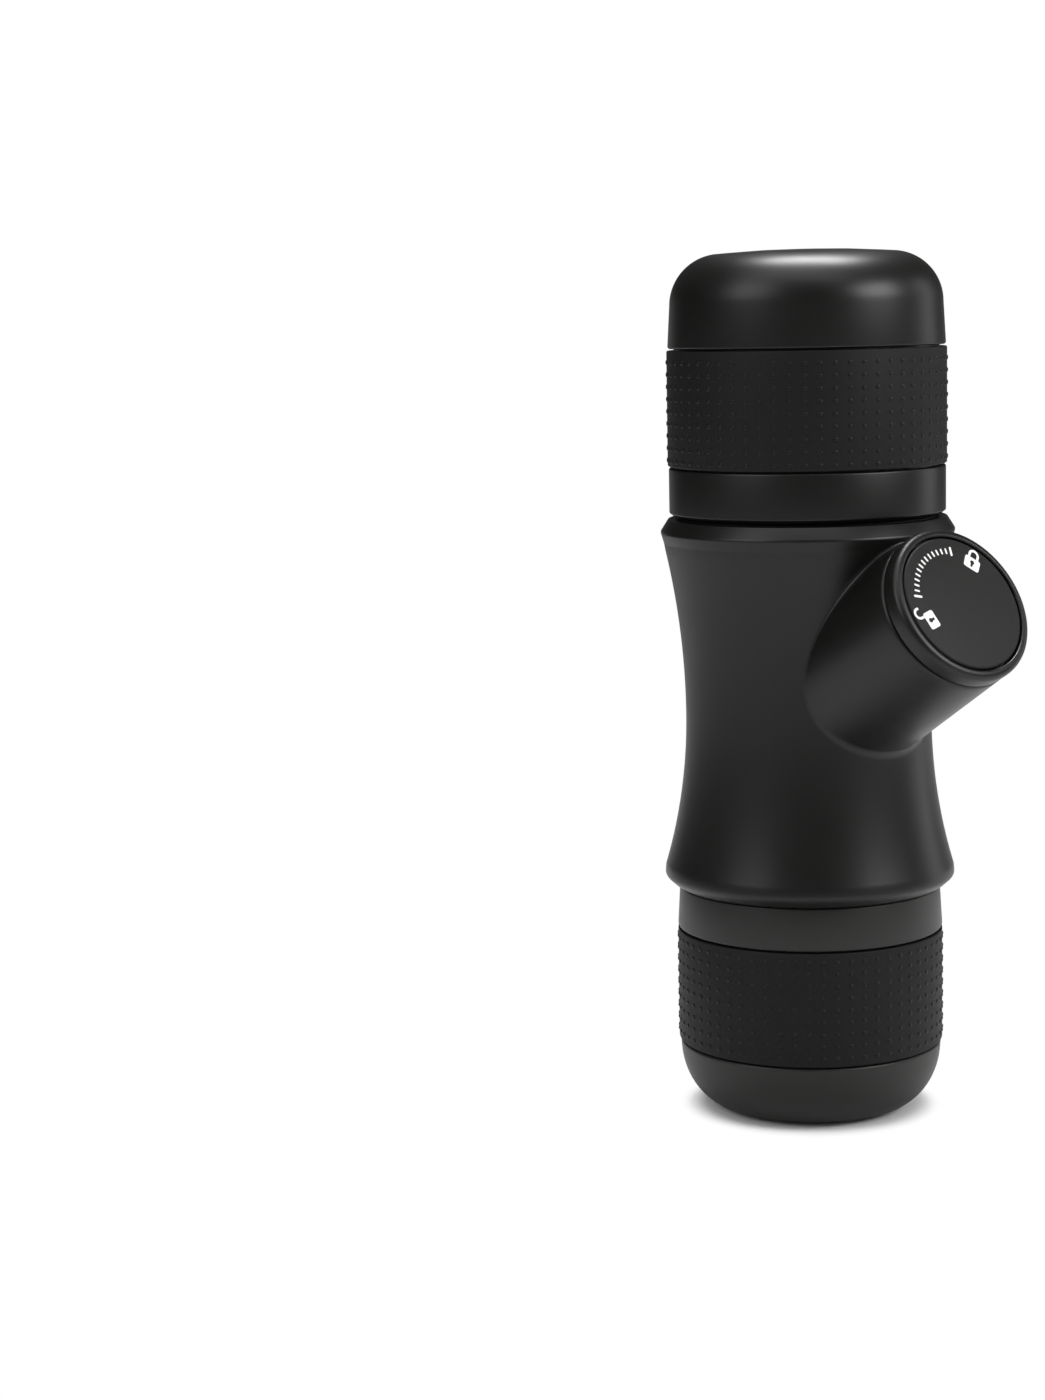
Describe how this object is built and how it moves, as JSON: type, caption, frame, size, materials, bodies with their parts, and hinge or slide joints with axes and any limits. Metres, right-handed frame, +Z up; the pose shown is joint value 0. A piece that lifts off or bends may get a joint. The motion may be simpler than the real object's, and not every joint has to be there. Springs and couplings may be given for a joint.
{
  "type": "handheld manual espresso maker",
  "caption": "Handheld manual espresso maker: a waisted black body with a slanted hand pump and locking button, a screw-on water tank above, and an outlet head under a cup below.",
  "frame": {"origin": "centre of the cup's flat base, on the floor", "axes": "+Z up along the body's axis to the tank's crown; +X towards the pump arm, which lies in the XZ plane"},
  "size_m": [0.0833, 0.0604, 0.178],
  "materials": {
    "shell_plastic": "satin black",
    "cup_plastic": "satin black",
    "grip_rubber": "matt, small nubs",
    "seal_rubber": "matt",
    "inner_plastic": "satin dark grey",
    "pump_plastic": "satin white",
    "shaft_plastic": "gloss black",
    "insert_plastic": "fine matt",
    "steel": "brushed"
  },
  "bodies": {
    "main_body": {"body_shell": "shell_plastic", "tank_neck": "inner_plastic", "intake_screen": "steel", "intake_duct": "pump_plastic", "valve_block": "inner_plastic", "intake_ball": "steel", "outlet_ball": "steel", "outlet_spring": "steel", "valve_cap": "pump_plastic", "pressure_duct": "pump_plastic", "pump_cylinder": "pump_plastic", "cylinder_seal": "seal_rubber", "pump_housing": "inner_plastic", "lock_ring": "inner_plastic", "brew_neck": "inner_plastic", "brew_gasket": "seal_rubber", "shower_plate": "steel", "shower_screw": "steel", "upper_neck_screws": "steel", "lower_neck_screws": "steel", "core_screws": "steel", "return_spring": "steel"},
    "plunger": {"plunger_rod": "steel", "plunger_seal": "seal_rubber", "rod_screw": "steel"},
    "piston": {"piston_shaft": "shaft_plastic", "piston_cap": "shell_plastic", "cap_insert": "insert_plastic"},
    "tank_seal": {"tank_gasket": "seal_rubber"},
    "tank": {"water_tank": "shell_plastic", "tank_grip": "grip_rubber"},
    "basket": {"filter_basket": "steel"},
    "head": {"outlet_head": "shell_plastic"},
    "cup": {"cup": "cup_plastic", "cup_grip": "grip_rubber"}
  },
  "joints": [
    {"name": "piston_slide", "type": "slide", "parent": "main_body", "child": "plunger", "axis": [0.866, 0, 0.5], "range_m": [0, 0.025], "deforming": ["return_spring"]},
    {"name": "piston_turn", "type": "hinge", "parent": "plunger", "child": "piston", "pos_m": [0, 0, 0.083], "axis": [-0.866, 0, -0.5], "range_deg": [0, 45]},
    {"name": "tank_rise", "type": "slide", "parent": "main_body", "child": "tank_seal", "axis": [0, 0, 1], "range_m": [0, 0.0081]},
    {"name": "tank_turn", "type": "hinge", "parent": "tank_seal", "child": "tank", "pos_m": [0, 0, 0.15], "axis": [0, 0, 1], "range_deg": [0, 720]},
    {"name": "head_drop", "type": "slide", "parent": "main_body", "child": "basket", "axis": [0, 0, -1], "range_m": [0, 0.0071]},
    {"name": "head_turn", "type": "hinge", "parent": "basket", "child": "head", "pos_m": [0, 0, 0.03], "axis": [0, 0, -1], "range_deg": [0, 630]},
    {"name": "cup_pull", "type": "slide", "parent": "head", "child": "cup", "axis": [0, 0, -1], "range_m": [0, 0.045]}
  ],
  "couplings": [
    {"joint": "tank_rise", "follows": "tank_turn", "m_per_rad": 0.00063662},
    {"joint": "head_drop", "follows": "head_turn", "m_per_rad": 0.00063662}
  ]
}
